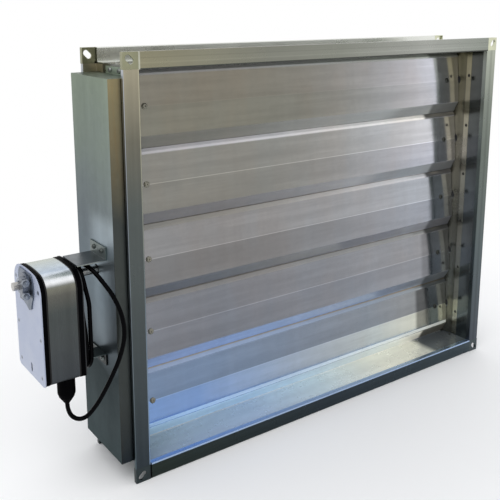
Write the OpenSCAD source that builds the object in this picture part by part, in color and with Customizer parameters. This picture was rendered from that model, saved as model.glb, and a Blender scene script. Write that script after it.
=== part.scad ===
// Shutter damper for a rectangular air duct: five parallel blades in a flanged sheet casing,
// a covered linkage on the left side and a rotary actuator clamped to the middle blade's shaft.
// X runs to the right, Y along the duct away from the front flange, Z up.
// The origin is the centre of the duct opening, in the face of the front flange.

/* [Duct casing] */
// Clear width between the side sheets
duct_w = 750; // [600:5:900]
// Clear height between the top and bottom sheets
duct_h = 600; // [540:5:720]
// Depth from the front flange face to the back flange face
depth = 140; // [136:1:180]
// Thickness of the casing sheets
sheet = 1.2; // [0.8:0.1:1.6]
// Width of the tabs that the side sheets fold over the top and bottom sheets
tab_w = 16; // [12:1:24]
// Length of a tab along the duct
tab_l = 72; // [50:1:78]
// Diameter of the shank of a casing rivet
rivet_d = 4; // [3:0.1:5]
// Diameter of the head of a casing rivet
rivet_head_d = 7; // [6:0.5:8]
// Height of the head of a casing rivet
rivet_head_h = 1.4; // [1:0.1:2]
// Height of a casing rivet's closed end inside the duct
rivet_tail_h = 0.8; // [0.6:0.1:0.9]
// Number of rivets in each tab
rivet_count = 3; // [2:1:4]

/* [Flanges] */
// Height of the flange face beyond the inside of the duct
flange_h = 24; // [21:1:30]
// Thickness of the rolled flange profile
strip = 1; // [0.7:0.1:1.2]
// Inner radius of the profile's folds
fold_r = 0.4; // [0.3:0.1:0.8]
// Depth of the profile's closed chamber, face included
chamber_d = 7; // [6:0.5:9]
// Length of the profile's lip inside the duct
inner_lip = 9; // [6:0.5:14]
// Depth that the profile's leg reaches along the casing
leg_d = 30; // [22:1:31]
// Thickness of a corner plate
corner_t = 2; // [1.5:0.1:3]
// Length of a corner plate's arm inside the profile
corner_arm = 60; // [40:1:90]
// Width of the bolt slot in a corner plate
slot_w = 9; // [7:0.5:11]
// Length of the bolt slot in a corner plate
slot_l = 15; // [12:0.5:17]
// Distance of the bolt slot's centre from both outer edges
slot_inset = 10.5; // [9:0.5:13]

/* [Blades] */
// Number of blades
blade_count = 5; // [5]
// Thickness of a blade
blade_t = 1.2; // [0.8:0.1:1.6]
// Overlap of one blade's lip over the next blade
blade_lap = 4.5; // [3.5:0.1:5]
// Gap between the outermost blades' edges and the casing
edge_gap = 1.5; // [1.2:0.1:4]
// Gap between a blade's end and the side sheet
end_gap = 5.5; // [5:0.1:9]
// Height of the shaft above the middle of its blade
shaft_rise = 2; // [1.5:0.1:3]
// Distance of the blade's crease in front of the shaft's axis
crease_y = 6.9; // [6.9:0.1:8]
// Distance of the blade's upper bend in front of the shaft's axis
top_bend_y = 1.5; // [1:0.1:2]
// Distance of the blade's top edge behind the shaft's axis
top_edge_y = 6.5; // [6:0.1:7]
// Height of the blade's top flange
top_flange = 10.5; // [9:0.5:12]
// Distance of the blade's lower bend in front of the shaft's axis
low_bend_y = 9.5; // [9.2:0.1:10]
// Distance of the lip's edge behind the shaft's axis
lip_edge_y = 1.2; // [1:0.1:1.4]
// Height of the blade's lip
lip_flange = 19.5; // [18:0.5:21]
// Inner radius of the blade's two flange bends
blade_bend = 1.5; // [1:0.1:3]
// Distance of a blade's rivets from its ends
blade_rivet_in = 34.5; // [20:0.5:60]
// Diameter of the head of a blade rivet
blade_rivet_head = 9.5; // [8:0.5:12]
// Diameter of the shank of a blade rivet
blade_rivet_d = 5; // [4:0.1:6]

/* [Shafts and bushes] */
// Diameter of the blade shafts
shaft_d = 12; // [10:0.5:12]
// Distance from the front flange face to the shafts
shaft_y = 70; // [68:0.5:72]
// Running clearance between a shaft and its bush, on the radius
running = 0.05; // [0.03:0.01:0.1]
// Wall of a bush
bush_wall = 2.8; // [2:0.1:3.5]
// Diameter of a bush's flange
bush_flange_d = 26; // [22:1:28]
// Thickness of a bush's flange
bush_flange_t = 2; // [1.5:0.1:2.5]
// Length of a bush inside the duct
bush_in = 3; // [2:0.1:4]
// Length of shaft past the right side sheet
shaft_stub = 6; // [4:0.5:10]
// Length of shaft past the left side sheet, inside the linkage cover
shaft_lever_end = 24; // [21:0.5:30]

/* [Side seals] */
// Thickness of a side seal
seal_t = 0.4; // [0.3:0.1:0.6]
// Clearance between a side seal's crown and the blades' ends
seal_gap = 0.5; // [0.3:0.1:1]
// Width of the seal's flat riveted edge
seal_flat = 10; // [9:0.5:12]
// Half of the width of the seal's arch
seal_half = 24; // [20:0.5:26]
// Diameter of the seal's hole round a bush
seal_hole_d = 22; // [20:0.5:24]
// Diameter of the shank of a seal rivet
seal_rivet_shank = 3; // [2.5:0.1:4]
// Diameter of the head of a seal rivet
seal_rivet_d = 6; // [5:0.5:7]
// Number of rivets in each side seal
seal_rivets_n = 6; // [3:1:10]

/* [Linkage] */
// Distance between a shaft and the lever's pin
lever_r = 35; // [30:1:36]
// Thickness of a lever
lever_t = 4; // [3:0.5:5]
// Diameter of a lever's hub
lever_hub_d = 22; // [20:1:24]
// Width of a lever at its pin
lever_end_d = 16; // [14:1:18]
// Diameter of a lever's pin
pin_d = 6; // [5:0.5:7]
// Clearance between a pin and the link bar's holes, on the radius
pin_gap = 0.25; // [0.15:0.01:0.3]
// Width of the link bar
bar_w = 20; // [16:1:22]
// Thickness of the link bar
bar_t = 4; // [3:0.5:5]
// Gap between the levers' faces and the link bar
bar_gap = 2; // [1:0.1:3]
// Angle of the levers above the level line when the blades are closed
lever_angle = 45; // [45]

/* [Linkage cover] */
// Height of the cover's face beyond the inside of the duct
cover_u = 43; // [40:1:50]
// Thickness of the cover
cover_t = 1; // [0.8:0.1:1.5]
// Gap between the flange faces' chamber and the cover
cover_gap = 1; // [0.5:0.1:2]
// Gap between the cover's ends and the inside height of the duct
cover_end = 12; // [10:0.5:14]
// Length of the cover's feet along the duct
foot_l = 60; // [40:1:78]
// Diameter of the head of a cover screw
screw_head_d = 8; // [7:0.5:9]
// Diameter of the shank of a cover screw
screw_d = 4; // [3:0.1:5]

/* [Actuator] */
// Distance of the actuator's back from the cover's face
act_gap = 44; // [36:1:50]
// Width of the actuator along the duct
act_w = 104; // [92:1:110]
// Height of the actuator's shoulders above its shaft
act_top = 18; // [16:1:22]
// Height of the crown above the shoulders
act_crown = 5; // [3:0.5:6]
// Distance from the shaft to the actuator's bottom
act_drop = 139; // [130:1:145]
// Thickness of the actuator's front and back plates
plate_t = 1.5; // [1:0.1:2]
// Thickness of the two gaskets
gasket_t = 6.5; // [4:0.5:8]
// Thickness of the actuator's housing between the gaskets
housing_t = 46; // [40:1:50]
// Radius of the actuator's upper corners
act_top_r = 27; // [24:1:30]
// Radius of the actuator's lower corners
act_low_r = 8; // [6:0.5:10]
// How far the housing stands in from the plates' edges
housing_inset = 1; // [0.5:0.1:1.5]
// Width of the anti-rotation slot
lock_w = 6; // [5:0.5:7]
// Length of the anti-rotation slot
lock_l = 14; // [12:0.5:16]
// Distance of the anti-rotation slot's centre from the actuator's bottom
lock_up = 13; // [12:0.5:16]

/* [Shaft clamp] */
// Outer diameter of the clamp's hollow spindle
spindle_d = 21; // [18:0.5:24]
// Clearance round the spindle, on the radius
spindle_gap = 0.3; // [0.2:0.05:0.5]
// Diameter of the clamp's disc
clamp_d = 36; // [32:1:40]
// Thickness of the clamp's disc
clamp_t = 3; // [2:0.5:4]
// Width of the jaw across the shaft
jaw_w = 30; // [28:1:34]
// Diameter of the clamp's bow
bow_d = 6; // [5:0.5:6]
// Radius of the position pointer's plate
pointer_r = 30; // [28:1:32]
// Height of the pointer's flat top above the shaft
pointer_top = 20; // [18:1:22]
// Distance of the pointer's tip from the shaft
pointer_l = 36; // [34:1:40]
// Width of the pointer's tip
pointer_tip = 10; // [6:1:14]
// Angle of the pointer's tip ahead of straight down when the blades are closed
pointer_turn = 22; // [0:1:30]
// Length of the drive shaft past the actuator's front plate
drive_end = 20; // [18:1:28]

/* [Brackets] */
// Thickness of the two brackets
bracket_t = 2; // [1.5:0.5:3]
// Width of the upper bracket along the duct
upper_w = 52; // [40:1:60]
// Distance of the upper bracket's front edge ahead of the shafts
upper_ahead = 37; // [30:1:40]
// Height of the upper bracket's foot
upper_foot = 20; // [16:1:30]
// Width of the lower bracket's foot along the duct
lower_w = 50; // [40:1:60]
// Width of the lower bracket's leg along the duct
lower_leg_w = 30; // [28:1:31]
// Height of the lower bracket's foot
lower_foot = 18; // [14:1:24]
// Width of the lower bracket's tongue
tongue_w = 5; // [4:0.5:6]

/* [Cable] */
// Diameter of the cable
cable_d = 6.5; // [5:0.5:7]
// Diameter of the cable gland
gland_d = 26; // [22:1:30]
// Length of the gland's straight part
gland_l = 33; // [28:1:38]
// Length of the gland's tapered end
gland_taper = 10; // [8:1:14]
// Distance of the gland from the actuator's front face plate
gland_u = 39; // [32:1:44]
// Distance of the gland in from the actuator's front edge
gland_in = 24; // [20:1:28]
// Radius of the round ends of the cable's coil
coil_r = 26; // [25:1:28]
// Distance between the centres of the coil's two round ends
coil_l = 106; // [100:1:110]
// Depth of the shaft below the coil's highest centre line
coil_rise = 18; // [16:1:19]
// Distance of the coil's middle in front of the shafts
coil_ahead = 10; // [8:1:12]
// Gap between the coil and the actuator's back plate
coil_gap = 4; // [2:0.5:6]
// Width of the cable tie
tie_w = 4.8; // [3.5:0.1:6]
// Thickness of the cable tie
tie_t = 1.2; // [1:0.1:1.5]

/* [Hidden] */
$fn = 48;
blade_ids = [for (k = [1:blade_count]) k];
drive_id = 3;
pitch = (duct_h - 2 * edge_gap - blade_lap) / blade_count;
blade_h = pitch + blade_lap;
blade_up = blade_h / 2 - shaft_rise;
blade_down = blade_h / 2 + shaft_rise;
blade_len = duct_w - 2 * end_gap;
function shaft_z(k) = duct_h / 2 - edge_gap - blade_up - (k - 1) * pitch;
drive_z = shaft_z(drive_id);
inner_x = duct_w / 2;
inner_z = duct_h / 2;
outer_x = inner_x + flange_h;
outer_z = inner_z + flange_h;

// Gap between faces that seat on each other, and gap between faces that stay clear
touch = 0.02;
clear = 0.3;

// Front edge of the casing sheets, just behind the flange profile's fold
sheet_y0 = strip + fold_r + touch;

// Levels along the left side, measured outward from the inside of the duct
lever_u = sheet + bush_flange_t + 1;
lever_face_u = lever_u + 2 * lever_t;
bar_u = lever_face_u + bar_gap;
bar_face_u = bar_u + bar_t;
pin_head_t = 1.6;
act_u = cover_u + act_gap;
back_gasket_u = act_u + plate_t;
housing_u = back_gasket_u + gasket_t;
front_gasket_u = housing_u + housing_t;
front_plate_u = front_gasket_u + gasket_t;
act_face_u = front_plate_u + plate_t;
pointer_t = 1.5;
clamp_u = act_face_u + clear + pointer_t + touch;
jaw_u = clamp_u + clamp_t;
jaw_t = bow_d + 1.5;
bow_u = jaw_u + jaw_t / 2;
cover_z = inner_z - cover_end;
cover_foot = cover_end - 1;
cover_y0 = chamber_d + cover_gap;
cover_y1 = depth - cover_y0;
cover_base_u = sheet + strip + clear;
mid_y = depth / 2;
lock_z = drive_z - act_drop + lock_up;
crown_z = act_top + act_crown;

// A blade's middle line from its top edge to its lip, as height and depth from the shaft's axis
blade_line = [
    [blade_up, top_edge_y],
    [blade_up - top_flange, -top_bend_y],
    [0, -crease_y],
    [lip_flange - blade_down, -low_bend_y],
    [-blade_down, lip_edge_y]
];
// Slope of the blade at its crease, which the rivets stand square to
blade_slope = atan2(low_bend_y - top_bend_y, blade_up - top_flange + blade_down - lip_flange);

// Centre line of the cable from the gland's end to the coil: distance outward from the duct's
// inside, distance behind the front flange face and height above the duct's centre
cable_route = [
    [110, 42, -179.4],
    [109.2, 41.6, -190],
    [106, 39, -200],
    [99, 35, -206],
    [91, 31, -206],
    [83, 27, -200],
    [73, 21, -185],
    [64, 14, -165],
    [55, 7, -142],
    [46, 2, -119],
    [40.5, -2, -98],
    [37.5, -4, -79],
    [37.5, -3, -60],
    [41, 0, -40],
    [47.5, 10, -18],
    [57, 26.5, 2.5],
    [65, 41, 15.5],
    [71, 54, 21],
    [75.5, 66, 20.5]
];

// Folded strips, drawn as a middle line with round bends and given a thickness
function unit(v) = v / norm(v);
function left_of(v) = [-v[1], v[0]];
function turned(v, a) = [v[0] * cos(a) - v[1] * sin(a), v[0] * sin(a) + v[1] * cos(a)];
function turn_angle(a, b) = atan2(a[0] * b[1] - a[1] * b[0], a * b);
function bend_arc(p, a, b, r) =
    let (w = turn_angle(a, b), d = r * tan(abs(w) / 2), arm = left_of(a) * r * sign(w))
    let (steps = ceil(abs(w) / 22.5), start = p - a * d)
    abs(w) < 10 ? [p] : [for (i = [0:steps]) start + arm - turned(arm, w * i / steps)];
function bent_line(line, r) = [
    line[0],
    for (i = [1:len(line) - 2])
        each bend_arc(line[i], unit(line[i] - line[i - 1]), unit(line[i + 1] - line[i]), r),
    line[len(line) - 1]
];
function heading(line, i) = unit(line[min(i + 1, len(line) - 1)] - line[min(i, len(line) - 2)]);
function beside(line, i, h) =
    let (a = heading(line, max(i - 1, 0)), m = unit(a + heading(line, i)))
    line[i] + left_of(m) * h / (m * a);

module thick_line(line, t) {
    n = len(line) - 1;
    polygon([for (i = [0:n]) beside(line, i, t / 2), for (i = [n:-1:0]) beside(line, i, -t / 2)]);
}

module bent_strip(line, t, inner_r) {
    thick_line(bent_line(line, inner_r + t / 2), t);
}

// Places a shape that is drawn in outward distance, depth and height on the left side
module on_left(u = 0, y = 0, z = 0) {
    translate([-inner_x - u, y, z]) children();
}

// Cylinder that runs outward from the left side, along -X
module left_rod(d, length) {
    rotate([0, -90, 0]) cylinder(d = d, h = length);
}

// Extrudes an outline drawn in height and depth along X, centred on the duct
module along_x(length) {
    rotate([0, -90, 0]) linear_extrude(height = length, center = true) children();
}

// Extrudes an outline drawn in height and depth outward from the left side
module outward(t) {
    rotate([0, -90, 0]) linear_extrude(height = t) children();
}

module both_x() {
    children();
    mirror([1, 0, 0]) children();
}

module both_z() {
    children();
    mirror([0, 0, 1]) children();
}

module at_back() {
    translate([0, depth, 0]) mirror([0, 1, 0]) children();
}

// Casing
module level_sheet() {
    translate([-inner_x, sheet_y0, inner_z]) cube([duct_w, depth - 2 * sheet_y0, sheet]);
}

module casing_top() {
    color("darkgray") difference() {
        level_sheet();
        tab_holes();
    }
}

module casing_bottom() {
    color("darkgray") mirror([0, 0, 1]) difference() {
        level_sheet();
        tab_holes();
    }
}

// Rivet positions of one tab, from the tab's middle
function tab_rivet_y(i) = mid_y + (i - (rivet_count - 1) / 2) * tab_l / (rivet_count + 0.2);

module tab_holes() {
    for (side = [-1, 1], i = [0:rivet_count - 1])
        translate([side * (inner_x + sheet - tab_w / 2), tab_rivet_y(i), inner_z - sheet])
            cylinder(d = rivet_d + touch, h = 4 * sheet);
}

module side_sheet() {
    translate([inner_x, sheet_y0, -inner_z - sheet])
        cube([sheet, depth - 2 * sheet_y0, duct_h + 2 * sheet]);
    both_z() {
        translate([inner_x + sheet - tab_w, mid_y - tab_l / 2, inner_z + sheet])
            cube([tab_w - sheet / 2, tab_l, sheet]);
        translate([inner_x, mid_y - tab_l / 2, inner_z]) cube([sheet, tab_l, 2 * sheet]);
    }
}

module casing_side() {
    difference() {
        side_sheet();
        both_z() tab_holes();
        for (k = blade_ids)
            translate([inner_x - 1, shaft_y, shaft_z(k)])
                rotate([0, 90, 0]) cylinder(r = shaft_d / 2 + running + bush_wall, h = sheet + 2);
        for (i = [0:seal_rivets_n - 1])
            translate([inner_x - 1, seal_rivet_y, seal_rivet_z(i)])
                rotate([0, 90, 0]) cylinder(d = seal_rivet_shank + touch, h = sheet + 2);
    }
}

module casing_right() {
    color("dimgray") casing_side();
}

module casing_left() {
    color("slategray") difference() {
        mirror([1, 0, 0]) casing_side();
        screw_places() rotate([0, 90, 0]) cylinder(d = screw_d, h = 6 * sheet, center = true);
    }
}

module casing_rivet() {
    translate([0, 0, -rivet_tail_h])
        cylinder(d = rivet_d, h = 2 * sheet + rivet_tail_h + rivet_head_h / 2);
    translate([0, 0, 2 * sheet]) cylinder(d1 = rivet_head_d, d2 = rivet_head_d - 2, h = rivet_head_h);
    translate([0, 0, -rivet_tail_h]) cylinder(d = rivet_head_d - 1.5, h = rivet_tail_h);
}

module casing_rivets() {
    color("lightgray") both_z()
        for (side = [-1, 1], i = [0:rivet_count - 1])
            translate([side * (inner_x + sheet - tab_w / 2), tab_rivet_y(i), inner_z]) casing_rivet();
}

// Flange profile: inner lip, face, outer lip, chamber web and leg, folded from one strip
module flange_section() {
    h = strip / 2;
    bent_strip([
        [-h, inner_lip],
        [-h, h],
        [flange_h - h, h],
        [flange_h - h, chamber_d - h],
        [sheet + h + touch, chamber_d - h],
        [sheet + h + touch, leg_d]
    ], strip, fold_r);
}

module level_bar() {
    translate([0, 0, inner_z]) along_x(duct_w) flange_section();
}

module upright_bar() {
    difference() {
        translate([inner_x, 0, 0]) linear_extrude(height = duct_h, center = true) flange_section();
        both_z() translate([inner_x - strip - 1, -1, inner_z - strip])
            cube([strip + 1, inner_lip + 2, strip + 1]);
    }
}

module front_flange_top() {
    color("darkkhaki") level_bar();
}

module front_flange_bottom() {
    color("dimgray") mirror([0, 0, 1]) level_bar();
}

module front_flange_left() {
    color("gray") mirror([1, 0, 0]) upright_bar();
}

module front_flange_right() {
    color("gray") upright_bar();
}

module back_flange_top() {
    color("darkgray") at_back() level_bar();
}

module back_flange_bottom() {
    color("dimgray") at_back() mirror([0, 0, 1]) level_bar();
}

module back_flange_left() {
    color("gray") at_back() mirror([1, 0, 0]) upright_bar();
}

module back_flange_right() {
    color("gray") at_back() upright_bar();
}

// Corner plate in the upper right: a flush face, two arms inside the profiles and two folded lips
module corner_plate() {
    arm_in = sheet + strip + 0.4;
    arm_out = flange_h - strip - 0.4;
    difference() {
        union() {
            translate([touch, 0, touch]) cube([flange_h - touch, strip, flange_h - touch]);
            translate([-corner_arm, strip, arm_in])
                cube([corner_arm + arm_out, corner_t, arm_out - arm_in]);
            translate([arm_in, strip, -corner_arm])
                cube([arm_out - arm_in, corner_t, corner_arm + arm_out]);
            translate([flange_h - strip, 0, touch]) cube([strip, chamber_d, flange_h - touch]);
            translate([touch, 0, flange_h - strip]) cube([flange_h - touch, chamber_d, strip]);
            translate([arm_in, strip, arm_in])
                cube([flange_h - strip - arm_in, corner_t, flange_h - strip - arm_in]);
        }
        translate([flange_h - slot_inset, -1, flange_h - slot_inset]) corner_slot(corner_t + strip + 2);
    }
}

// Slot that points at the centre of the duct
module corner_slot(length) {
    half = (slot_l - slot_w) / 2;
    rotate([-90, 0, 0]) rotate([0, 0, -45]) {
        for (side = [-1, 1]) translate([side * half, 0, 0]) cylinder(d = slot_w, h = length);
        translate([-half, -slot_w / 2, 0]) cube([2 * half, slot_w, length]);
    }
}

module corner_plates() {
    both_z() both_x() translate([inner_x, 0, inner_z]) corner_plate();
}

module front_flange_corners() {
    color("lightgray") corner_plates();
}

module back_flange_corners() {
    color("lightgray") at_back() corner_plates();
}

// Side seals: a riveted edge and an arch that the blades' ends close against
seal_rise = end_gap - seal_gap;
seal_y0 = shaft_y - seal_half - seal_flat;
seal_rivet_y = seal_y0 + seal_flat / 2;
seal_len = duct_h - 2 * edge_gap;
function seal_rivet_z(i) = seal_len * ((i + 0.5) / seal_rivets_n - 0.5);
seal_steps = 16;
seal_line = [
    [seal_t / 2, 0],
    [seal_t / 2, seal_flat],
    for (i = [1:seal_steps - 1]) [
        seal_t / 2 + (seal_rise - seal_t) * (1 - cos(360 * i / seal_steps)) / 2,
        seal_flat + 2 * seal_half * i / seal_steps
    ],
    [seal_t / 2, seal_flat + 2 * seal_half]
];

module side_seal() {
    difference() {
        translate([inner_x, seal_y0, 0]) mirror([1, 0, 0])
            linear_extrude(height = seal_len, center = true) thick_line(seal_line, seal_t);
        for (k = blade_ids)
            translate([inner_x - end_gap, shaft_y, shaft_z(k)])
                rotate([0, 90, 0]) cylinder(d = seal_hole_d, h = end_gap + 1);
        for (i = [0:seal_rivets_n - 1])
            translate([inner_x - end_gap, seal_rivet_y, seal_rivet_z(i)])
                rotate([0, 90, 0]) cylinder(d = seal_rivet_shank + touch, h = end_gap + 1);
    }
}

module right_side_seal() {
    color("silver") side_seal();
}

module left_side_seal() {
    color("silver") mirror([1, 0, 0]) side_seal();
}

module seal_rivet() {
    rotate([0, 90, 0]) {
        translate([0, 0, -seal_t - 1]) cylinder(d1 = seal_rivet_d - 2, d2 = seal_rivet_d, h = 1);
        translate([0, 0, -seal_t - 1]) cylinder(d = seal_rivet_shank, h = seal_t + sheet + 2);
        translate([0, 0, sheet]) cylinder(d = seal_rivet_d - 1, h = 1);
    }
}

module seal_rivets() {
    color("gray") both_x() for (i = [0:seal_rivets_n - 1])
        translate([inner_x, seal_rivet_y, seal_rivet_z(i)]) seal_rivet();
}

// Flanged plastic bush, drawn along Z outward from the inside of the duct
module bush() {
    bore = shaft_d / 2 + running;
    rotate_extrude() polygon([
        [bore, -bush_in],
        [bore + bush_wall - touch, -bush_in],
        [bore + bush_wall - touch, sheet + touch],
        [bush_flange_d / 2, sheet + touch],
        [bush_flange_d / 2, sheet + bush_flange_t],
        [bore, sheet + bush_flange_t]
    ]);
}

module right_bushes() {
    color("dimgray") for (k = blade_ids)
        translate([inner_x, shaft_y, shaft_z(k)]) rotate([0, 90, 0]) bush();
}

module left_bushes() {
    color("dimgray") for (k = blade_ids) on_left(0, shaft_y, shaft_z(k)) rotate([0, -90, 0]) bush();
}

// Blades, their shafts and rivets
module rivet_frame(k) {
    for (side = [-1, 1])
        translate([side * (blade_len / 2 - blade_rivet_in), shaft_y, shaft_z(k)])
            rotate([90 - blade_slope, 0, 0]) children();
}

module blade(k) {
    color("silver") difference() {
        translate([0, shaft_y, shaft_z(k)])
            along_x(blade_len) bent_strip(blade_line, blade_t, blade_bend);
        rivet_frame(k) cylinder(d = blade_rivet_d + touch, h = 4 * crease_y);
    }
}

function shaft_left_u(k) = k == drive_id ? act_face_u + drive_end : shaft_lever_end;

module shaft(k) {
    color("gray") difference() {
        translate([inner_x + sheet + shaft_stub, shaft_y, shaft_z(k)])
            left_rod(shaft_d, duct_w + sheet + shaft_stub + shaft_left_u(k));
        rivet_frame(k) cylinder(d = blade_rivet_d + touch, h = 2 * shaft_d, center = true);
    }
}

// Domed rivet with a recess in its head, through the blade and the shaft
module blade_rivet() {
    seat = crease_y + blade_t / 2 + touch;
    difference() {
        union() {
            translate([0, 0, -shaft_d / 2 - 2]) cylinder(d = blade_rivet_d, h = shaft_d / 2 + seat + 3);
            translate([0, 0, seat]) cylinder(d = blade_rivet_head, h = 0.8);
            translate([0, 0, seat + 0.8])
                cylinder(d1 = blade_rivet_head, d2 = blade_rivet_head - 3.5, h = 1.4);
            translate([0, 0, -shaft_d / 2 - 2 - touch]) cylinder(d = blade_rivet_d + 2.5, h = 2);
        }
        translate([0, 0, seat + 1]) cylinder(d = 2.6, h = 3);
    }
}

module blade_rivets(k) {
    color("lightgray") rivet_frame(k) blade_rivet();
}

// Depth of a lever's straight flanks inside its round ends
flank_in = 0.05;
// Lever, drawn with its shaft at the origin, its pin along +X and its faces along Z
module lever_outline() {
    r1 = lever_hub_d / 2;
    r2 = lever_end_d / 2;
    a = acos((r1 - r2) / lever_r);
    side_1 = (r1 - flank_in) * [cos(a), sin(a)];
    side_2 = (r2 - flank_in) * [cos(a), sin(a)] + [lever_r, 0];
    circle(r = r1);
    translate([lever_r, 0]) circle(r = r2);
    polygon([side_1, side_2, [side_2[0], -side_2[1]], [side_1[0], -side_1[1]]]);
}

module lever_blank() {
    difference() {
        union() {
            cylinder(d = lever_hub_d - 2, h = 2 * lever_t - 1);
            translate([0, 0, lever_t]) linear_extrude(height = lever_t) lever_outline();
            translate([lever_r, 0, lever_t])
                cylinder(d = pin_d, h = lever_t + bar_gap + bar_t + clear + pin_head_t);
            translate([lever_r, 0, 2 * lever_t + bar_gap + bar_t + clear])
                cylinder(d = pin_d + 4, h = pin_head_t);
            translate([lever_r, 0, lever_t]) cylinder(d = pin_d + 5, h = lever_t + bar_gap - clear);
        }
        translate([0, 0, -1]) cylinder(r = shaft_d / 2 + touch, h = 2 * lever_t + 2);
    }
}

module lever(k) {
    color("darkgray") on_left(lever_u, shaft_y, shaft_z(k))
        rotate([0, -90, 0]) rotate([0, 0, 90 - lever_angle]) lever_blank();
}

// Link bar over the levers' pins
pin_y = shaft_y + lever_r * cos(lever_angle);
pin_rise = lever_r * sin(lever_angle);

module link_bar() {
    low = shaft_z(blade_count) + pin_rise;
    high = shaft_z(1) + pin_rise;
    color("gray") difference() {
        on_left(bar_u, pin_y) outward(bar_t) {
            for (z = [low, high]) translate([z, 0]) circle(d = bar_w);
            translate([low, -bar_w / 2]) square([high - low, bar_w]);
        }
        for (k = blade_ids)
            on_left(bar_u - 1, pin_y, shaft_z(k) + pin_rise) left_rod(pin_d + 2 * pin_gap, bar_t + 2);
    }
}

// Linkage cover: a folded tray with a foot at each end
module cover_tray() {
    tall = 2 * cover_z;
    wide = cover_y1 - cover_y0;
    difference() {
        on_left(cover_u, cover_y0, -cover_z) cube([cover_u - sheet - touch, wide, tall]);
        on_left(cover_u - cover_t, cover_y0 + cover_t, cover_t - cover_z)
            cube([cover_u, wide - 2 * cover_t, tall - 2 * cover_t]);
        for (y = [-touch, leg_room_y1])
            on_left(cover_base_u, y, -inner_z) cube([cover_base_u, leg_room + touch, duct_h]);
    }
}
leg_room = leg_d + clear;
leg_room_y1 = depth - leg_room;
foot_len = min(foot_l, depth - 2 * leg_d - 2);
foot_y = mid_y - foot_len / 2;

module cover_feet() {
    both_z() on_left(sheet + touch + cover_t, foot_y, cover_z - cover_t)
        cube([cover_t, foot_len, cover_foot + cover_t]);
}

module screw_places() {
    both_z() for (side = [-1, 1])
        on_left(sheet + touch + cover_t, mid_y + side * foot_len / 4, cover_z + cover_foot / 2)
            children();
}

module linkage_cover() {
    color("slategray") difference() {
        union() {
            cover_tray();
            cover_feet();
        }
        on_left(cover_u - cover_t - 1, shaft_y, drive_z) left_rod(shaft_d + 4, cover_t + 2);
        screw_places() rotate([0, 90, 0]) cylinder(d = screw_d, h = 3 * cover_t, center = true);
        bracket_screw_holes();
    }
}

module pan_screw(shank) {
    rotate([0, -90, 0]) {
        translate([0, 0, -shank]) cylinder(d = screw_d - touch, h = shank + touch);
        difference() {
            cylinder(d1 = screw_head_d, d2 = screw_head_d - 2.4, h = 2.4);
            translate([-0.5, -screw_head_d / 3, 1.2]) cube([1, screw_head_d / 1.5, 2]);
            translate([-screw_head_d / 3, -0.5, 1.2]) cube([screw_head_d / 1.5, 1, 2]);
        }
    }
}

module cover_screws() {
    color("lightgray") screw_places() pan_screw(cover_t + sheet);
}

// Angle by which the actuator's crown stops short of its corners' arcs, so that the two cross
crown_seam = 0.3;
// Actuator: one outline for the plates, the gaskets and the housing, drawn in height and depth
module act_outline(inset = 0) {
    half = act_w / 2 - inset;
    r1 = act_top_r - inset;
    r2 = act_low_r - inset / 2;
    reach = half - r1;
    arch_r = (half * half + act_crown * act_crown) / (2 * act_crown);
    arch_c = crown_z - inset - arch_r;
    turn = asin(reach / (arch_r - r1));
    shoulder = arch_c + (arch_r - r1) * cos(turn);
    base = inset - act_drop;
    intersection() {
        translate([arch_c, 0]) circle(r = arch_r, $fn = 180);
        polygon([for (p = [[shoulder, 1], [shoulder, -1], [2 * crown_z, -1], [2 * crown_z, 1]])
            [p[0], p[1] * (p[0] - arch_c) * tan(turn - crown_seam)]]);
    }
    for (side = [-1, 1]) {
        translate([shoulder, side * reach]) circle(r = r1, $fn = 96);
        translate([base + r2, side * (half - r2)]) circle(r = r2);
    }
    translate([base + r2, -half]) square([shoulder - base - r2, 2 * half]);
    translate([base, r2 - half]) square([r2 + 1, 2 * (half - r2)]);
}

module spindle_hole() {
    circle(r = spindle_d / 2 + spindle_gap);
}

module lock_slot() {
    translate([lock_up - act_drop, 0]) {
        for (side = [-1, 1]) translate([side * (lock_l - lock_w) / 2, 0]) circle(d = lock_w);
        square([lock_l - lock_w, lock_w], center = true);
    }
}

module plate_screw_holes() {
    for (p = plate_screw_points) translate(p) circle(d = screw_d);
}
screw_y = act_w / 2 - 8;
plate_screw_points = [
    [act_top - act_top_r / 2 - 4, screw_y],
    [act_top - act_top_r / 2 - 4, -screw_y],
    [-act_drop / 2, screw_y],
    [-act_drop / 2, -screw_y],
    [12 - act_drop, screw_y - 3],
    [12 - act_drop, 3 - screw_y]
];

module act_layer(u, t, inset) {
    on_left(u, shaft_y, drive_z) outward(t) difference() {
        act_outline(inset);
        spindle_hole();
        lock_slot();
        plate_screw_holes();
    }
}

module actuator_back_plate() {
    color("gray") act_layer(act_u, plate_t, 0);
}

module actuator_back_gasket() {
    color("black") act_layer(back_gasket_u, gasket_t, housing_inset / 2);
}

module actuator_front_gasket() {
    color("black") act_layer(front_gasket_u, gasket_t, housing_inset / 2);
}

module actuator_front_plate() {
    color("lavender") difference() {
        act_layer(front_plate_u, plate_t, 0);
        at_plate_screws() translate([0, 0, -flush_head_h])
            cylinder(d1 = screw_d + touch, d2 = screw_d + touch + 4 * flush_head_h, h = 2 * flush_head_h);
    }
}

module actuator_housing() {
    color("silver") on_left(housing_u, shaft_y, drive_z) outward(housing_t) difference() {
        act_outline(housing_inset);
        spindle_hole();
        plate_screw_holes();
    }
}

// Flush screws through the front plate and the housing into the back plate
flush_head_h = 1.2;
module flush_screw() {
    translate([0, 0, -flush_head_h])
        cylinder(d1 = screw_d - touch, d2 = screw_d - touch + 2 * flush_head_h, h = flush_head_h);
    translate([0, 0, act_u - act_face_u]) cylinder(d = screw_d - touch, h = act_face_u - act_u - 1);
}

module at_plate_screws() {
    for (p = plate_screw_points)
        on_left(act_face_u, shaft_y + p[1], drive_z + p[0]) rotate([0, -90, 0]) children();
}

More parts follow.
